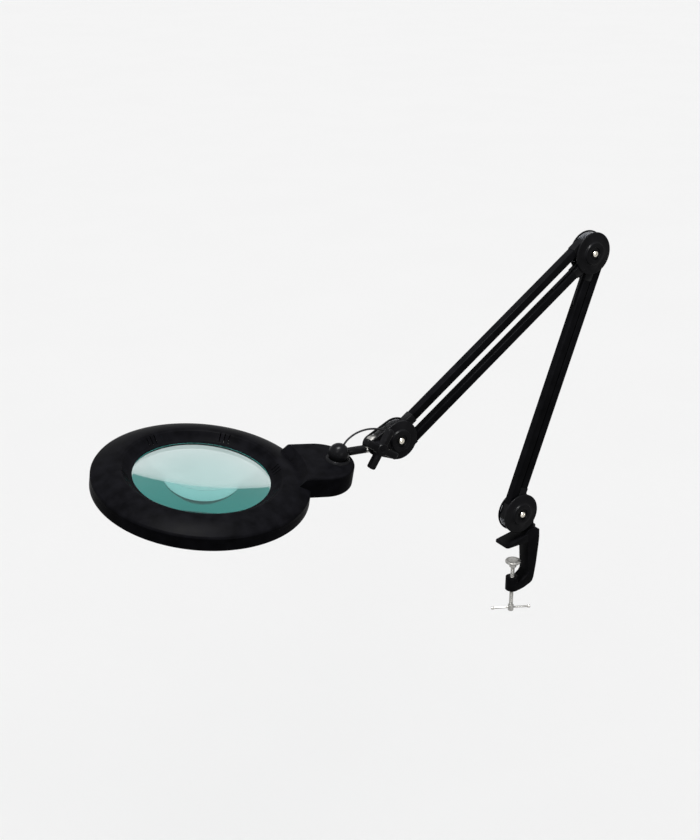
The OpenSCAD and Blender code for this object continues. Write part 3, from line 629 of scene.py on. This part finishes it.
def knob():
    """Cross-shaped knob: arm and half are its arms' length and half width."""
    arm, half, turn = 29.5, 5.2, 57.0
    corners = [(arm, half), (half, half), (half, arm), (-half, arm), (-half, half), (-arm, half),
               (-arm, -half), (-half, -half), (-half, -arm), (half, -arm), (half, -half), (arm, -half)]
    outline = soften(corners, [3.6, 2.2, 3.6] * 4, 6)
    cross = prism(outline, 14.3, 23.3, (0.9, 3.2), steps=6)
    hub = lathe(soften([(4.25, 8.95), (9, 8.95), (9, 22.6), (8, 24.3), (3.4, 24.3), (2.4, 23.5), (0, 23.4),
                        (0, 22.1), (4.25, 22.1)],
                       [0, 0.5, 1.2, 1.2, 0.8, 0.8, 0, 0, 0], closed=False))
    grip = make("tilt_knob_grip", [cross, hub], side(TILT, turn), "cover_plastic")
    settle(grip, "cover_plastic", "knob", "tilt_knob")


# ---------------------------------------------------------------- clamp screw

def clamp_screw():
    """M6 thread and the head with its cross hole for the bar; heights in mm about the world's origin."""
    top, collar, end = -36.0, -107.5, -117.5
    screw_r, thread_depth, pitch, head_r, hole_r = 3.0, 0.45, 1.0, 4.4, 1.56
    bar_turn = math.radians(-26)
    local = Matrix.Translation((SCREW_AXIS.x, SCREW_AXIS.y, 0))
    shaft = thread(screw_r, thread_depth, pitch, collar - 0.5, top)
    settle(make("clamp_screw_thread", [shaft], local, "zinc"), "zinc", "screw", "clamp_screw")
    profile = soften([(0, end), (head_r, end), (head_r, collar), (0, collar)], [0, 1.0, 0.8, 0], closed=False)
    head = make("clamp_screw_head", [lathe(profile, 48)], local, "zinc")
    across = (local @ Matrix.Translation((0, 0, (end + 5) * MM)) @ Matrix.Rotation(bar_turn, 4, "Z")
              @ Matrix.Rotation(math.pi / 2, 4, "Y"))
    drill(head, prism(circle((0, 0), hole_r), -8, 8, (0.1, 0.1)), across)
    settle(head, "zinc", "screw")


# ---------------------------------------------------------------- head

HEAD_R, CREST_R, CREST_H, CLEAR_R, SKIN, RIM_H = 141.7, 106.0, 12.0, 89.0, 2.2, 18.4
SPLIT, SEAT_R, SEAT_WALL, LIP = -6.0, 93.3, 95.6, -0.5     # SPLIT: height where the two shells meet
SEAM = 0.02
NECK_X, NECK_HALF, NECK_TOP, NECK_LOW, NECK_FROM = 158.0, 46.0, 18.0, -12.6, 112.0
BAND = ((125.5, 7.0), (135.5, 18.0))
BUTTON_X, BUTTON_R, STEM_R = 152.0, 6.08, 6.55
SLIT_GROUPS, SLIT_STEP, SLIT_AT, SLIT_HALF, SLIT_LONG = 6, 3.6, 99.0, 0.7, 4.9
RIM_SCREWS_AT, RIM_SCREW_R, FLANGE_R = 136.2, 2.85, 131.5
RING_SEGMENTS = 192


def crest(r):
    """Height of the upper shell's outer slope at radius r."""
    return CREST_H * (1 - max(0.0, (r - CREST_R) / (HEAD_R - CREST_R)) ** 1.7)


def neck_plan(shrink=0.0):
    r = NECK_HALF - shrink
    return [(NECK_FROM, -r)] + arc((NECK_X, 0), r, -90, 90, 56) + [(NECK_FROM, r)]


def band_tool(grow):
    """The round space inside the ring's slope, which the neck and its hollow stop at."""
    (r0, z0), (r1, z1) = BAND
    profile = [(0, -30), (r0 + grow, -30), (r0 + grow, z0), (r1 + grow, z1), (r1 + grow, 30), (0, 30)]
    return make("tool", [lathe(profile, RING_SEGMENTS)], HEAD, "steel")


def at_angle(degrees, radius, z=0.0):
    """Frame on the head, at that angle, radius and height in mm."""
    return HEAD @ Matrix.Rotation(math.radians(degrees), 4, "Z") @ Matrix.Translation(Vector((radius, 0, z)) * MM)


def join_neck(ring, neck, hollow, cut_neck, cut_hollow):
    """The neck, cut back to the ring's slope and hollowed, becomes one shell with the ring."""
    cut(hollow, [band_tool(cut_hollow)], "DIFFERENCE")
    cut(neck, [band_tool(cut_neck)], "DIFFERENCE")
    cut(neck, [hollow], "DIFFERENCE")
    cut(ring, [neck], "UNION")


def upper_housing():
    radii = [HEAD_R - (HEAD_R - CREST_R) * i / 30 for i in range(1, 30)]
    slope = [(r, crest(r)) for r in radii]
    under = [(r - 0.6, z - SKIN) for r, z in slope if r < HEAD_R - 3.5]
    ridge = soften([slope[-1], (CREST_R, CREST_H), (102.6, 10.6), (97.4, 5.0), (93.2, 1.2), (CLEAR_R, 0.1),
                    (CLEAR_R, LIP)],
                   [0, 2.0, 3.0, 3.0, 2.0, 0.6, 0], 6, closed=False)
    loop = soften([(HEAD_R - SKIN, SPLIT), (HEAD_R, SPLIT), (HEAD_R, -1.4), slope[0]], [0, 0.15, 1.2, 0], 5,
                  closed=False)
    loop += slope[1:-1] + ridge + [(SEAT_R, LIP), (SEAT_R, SPLIT), (SEAT_WALL, SPLIT), (SEAT_WALL, 2.0)]
    loop += [(97, 2.9), (101, 6.9)] + list(reversed(under)) + [(HEAD_R - SKIN, -2.6)]
    ring = make("head_upper_shell", [lathe(loop, RING_SEGMENTS)], HEAD, "housing_plastic")
    neck = make("neck", [prism(neck_plan(), SPLIT, NECK_TOP, (0.0, 2.6), steps=6)], HEAD, "housing_plastic")
    hollow = make("tool", [prism(neck_plan(SKIN), SPLIT - 2, NECK_TOP - SKIN, (0.0, 1.2))], HEAD, "steel")
    join_neck(ring, neck, hollow, 0, SKIN + 1)
    slit = prism(soften([(-SLIT_HALF, -SLIT_LONG), (SLIT_HALF, -SLIT_LONG), (SLIT_HALF, SLIT_LONG),
                         (-SLIT_HALF, SLIT_LONG)], 0.65, 3), 0, 12, (0.1, 0.1), steps=1)
    tools = []
    for k in range(SLIT_GROUPS):
        for step in (-1, 0, 1):
            angle = 360 / SLIT_GROUPS * k + SLIT_STEP * step
            spot = at_angle(angle, SLIT_AT, 1.2) @ Matrix.Rotation(math.pi / 2, 4, "Z")
            tools.append(make("tool", [slit], spot, "steel"))
    stem_hole = prism(circle((0, 0), STEM_R), 10, 30, (0.1, 0.1))
    tools.append(make("tool", [stem_hole], at_angle(0, HEAD_BALL[0]), "steel"))
    cut(ring, tools, "DIFFERENCE")
    settle(ring, "housing_plastic", "head", "head_upper_housing")


def lower_housing():
    low = -RIM_H
    loop = soften([(FLANGE_R, low), (HEAD_R, low), (HEAD_R, SPLIT - SEAM), (HEAD_R - SKIN, SPLIT - SEAM),
                   (HEAD_R - SKIN, low + 2), (FLANGE_R, low + 2)],
                  [0.5, 1.6, 0.35, 0, 0, 0.3], 5)
    ring = make("head_lower_shell", [lathe(loop, RING_SEGMENTS)], HEAD, "housing_plastic")
    neck = make("neck", [prism(neck_plan(), NECK_LOW, SPLIT - SEAM, (5.0, 0.3), steps=7)], HEAD, "housing_plastic")
    hollow = make("tool", [prism(neck_plan(SKIN), NECK_LOW + SKIN, 4, (3.0, 0.0))], HEAD, "steel")
    join_neck(ring, neck, hollow, 8, SKIN + 8)
    recess = prism(circle((0, 0), RIM_SCREW_R), -1, 2.6, (0.05, 0.05), steps=1)
    tools = [make("tool", [recess], at_angle(a, RIM_SCREWS_AT, low), "steel") for a in range(30, 360, 60)]
    button_hole = prism(circle((0, 0), BUTTON_R, 48), -22, -8, (0.1, 0.1), steps=1)
    tools.append(make("tool", [button_hole], at_angle(0, BUTTON_X), "steel"))
    cut(ring, tools, "DIFFERENCE")
    settle(ring, "housing_plastic", "head", "head_lower_housing")


def lens():
    """Two domes of rise sag on a flat ground rim; the rim's points are marked for the material's painted glow."""
    rim, dome, flat_top, flat_low, step, sag = 92.9, 89.0, -1.3, -5.3, 0.7, 12.0
    curve = (dome ** 2 + sag ** 2) / (2 * sag)
    half = math.degrees(math.asin(dome / curve))
    cap = arc((0, sag - curve), curve, 90 - half, 90, 40)
    upper = [(r, flat_top + step + z) for r, z in cap]
    lower = [(r, flat_low - z) for r, z in reversed(cap)]
    ground = [(dome + 0.1, flat_low), (rim - 0.5, flat_low), (rim, flat_low + 0.5),
              (rim, flat_top - 0.5), (rim - 0.5, flat_top), (dome + 0.1, flat_top)]
    obj = make("lens_blank", [lathe(lower + ground + upper, RING_SEGMENTS)], HEAD, "lens_glass")
    mark = obj.data.attributes.new("rim", "FLOAT", "POINT")
    to_head = HEAD.inverted()
    for vertex in obj.data.vertices:
        mark.data[vertex.index].value = float((to_head @ vertex.co).xy.length > (dome + 0.05) * MM)
    settle(obj, "lens_glass", "head", "lens")
    return obj


EDGE_WIDTH, SAME_POINT, FLAT_WITHIN = 0.3, 2e-6, 1.0
ROUNDED = {"clamp_frame": 0.9, "pressure_pad": 0.15, "leds": 0.15, "power_button": 0.2}


def dress(node, width):
    """A CAD node keeps its own mesh and gets its material, smooth shading and rounded edges."""
    obj = NODES[node]
    obj.data.materials.clear()
    obj.data.materials.append(MATERIALS[SLOT_OF[node]])
    obj.data.shade_smooth()
    obj.modifiers.new("weld", "WELD").merge_threshold = SAME_POINT
    flat = obj.modifiers.new("flat", "DECIMATE")
    flat.decimate_type = "DISSOLVE"
    flat.angle_limit = math.radians(FLAT_WITHIN)
    bevel = obj.modifiers.new("edges", "BEVEL")
    bevel.limit_method = "ANGLE"
    bevel.angle_limit = math.radians(SHARP)
    bevel.width = width * MM
    bevel.segments = 2
    bevel.harden_normals = True


arms()
leads()
wrist()
clamp_screw()
upper_housing()
lower_housing()
glass = lens()
for node in NODES:
    if not NODES[node].hide_render:
        dress(node, ROUNDED.get(node, EDGE_WIDTH))


# ---------------------------------------------------------------- stage

FLOOR_Z, FLOOR_HALF, WORLD_STRENGTH, BACKDROP = -0.45, 30.0, 1.0, 0.905


def stage():
    """Pale floor under a white world; the camera sees the world at BACKDROP, near the floor's tone."""
    floor_mat, nodes, links, shader, coords = new_material("floor")
    colour = mix_colour(nodes, links, noise(nodes, links, coords, 3.0), (0.90, 0.90, 0.90), (0.92, 0.92, 0.92))
    links.new(colour, shader.inputs["Base Color"])
    shader.inputs["Roughness"].default_value = 0.9
    shader.inputs["Specular IOR Level"].default_value = 0.05
    s, z = FLOOR_HALF, FLOOR_Z
    mesh = bpy.data.meshes.new("floor")
    mesh.from_pydata([(-s, -s, z), (s, -s, z), (s, s, z), (-s, s, z)], [], [(0, 1, 2, 3)])
    floor = bpy.data.objects.new("floor", mesh)
    bpy.context.scene.collection.objects.link(floor)
    mesh.materials.append(floor_mat)
    world = bpy.data.worlds.new("studio")
    bpy.context.scene.world = world
    world.use_nodes = True
    background = world.node_tree.nodes["Background"]
    background.inputs["Color"].default_value = (1, 1, 1, 1)
    seen = world.node_tree.nodes.new("ShaderNodeLightPath")
    strength = remap(world.node_tree.nodes, world.node_tree.links, seen.outputs["Is Camera Ray"],
                     WORLD_STRENGTH, BACKDROP, (0.0, 1.0))
    world.node_tree.links.new(strength, background.inputs["Strength"])


def aim(obj, position, target):
    bpy.context.scene.collection.objects.link(obj)
    obj.location = position
    obj.rotation_mode = "QUATERNION"
    obj.rotation_quaternion = (Vector(target) - Vector(position)).to_track_quat("-Z", "Y")


def lit_group(name, *left_out):
    """The lamp's pieces that a soft box lights; the floor is lit by the world alone."""
    group = bpy.data.collections.new(name)
    for obj in bpy.context.scene.objects:
        if obj.type == "MESH" and obj not in left_out:
            group.objects.link(obj)
    return group


def lamp(name, position, target, size, watts, group):
    light = bpy.data.lights.new(name, "AREA")
    light.shape = "RECTANGLE"
    light.size, light.size_y = size
    light.energy = watts
    obj = bpy.data.objects.new(name, light)
    aim(obj, position, target)
    obj.light_linking.receiver_collection = group


CAMERA_AT, CAMERA_TO, CAMERA_LENS = (-1.1640, -1.3898, 0.9266), (-0.28934, 0.0, 0.25798), 57.8
all_but_lens = lit_group("all_but_lens", glass)
stage()
lamp("key", (-1.9, -1.2, 2.0), (-0.3, 0, 0.2), (0.5, 0.4), 22, all_but_lens)
lamp("top", (-0.5, -0.15, 1.7), (-0.5, 0.0, 0.2), (0.7, 0.35), 95, all_but_lens)
lamp("strip", (-0.2, -2.2, 0.5), (-0.1, 0, 0.25), (0.15, 0.9), 14, all_but_lens)
camera = bpy.data.objects.new("camera", bpy.data.cameras.new("camera"))
camera.data.lens = CAMERA_LENS
camera.data.clip_start, camera.data.clip_end = 0.05, 60.0
aim(camera, CAMERA_AT, CAMERA_TO)
bpy.context.scene.camera = camera
bpy.context.scene.view_settings.view_transform = "Standard"
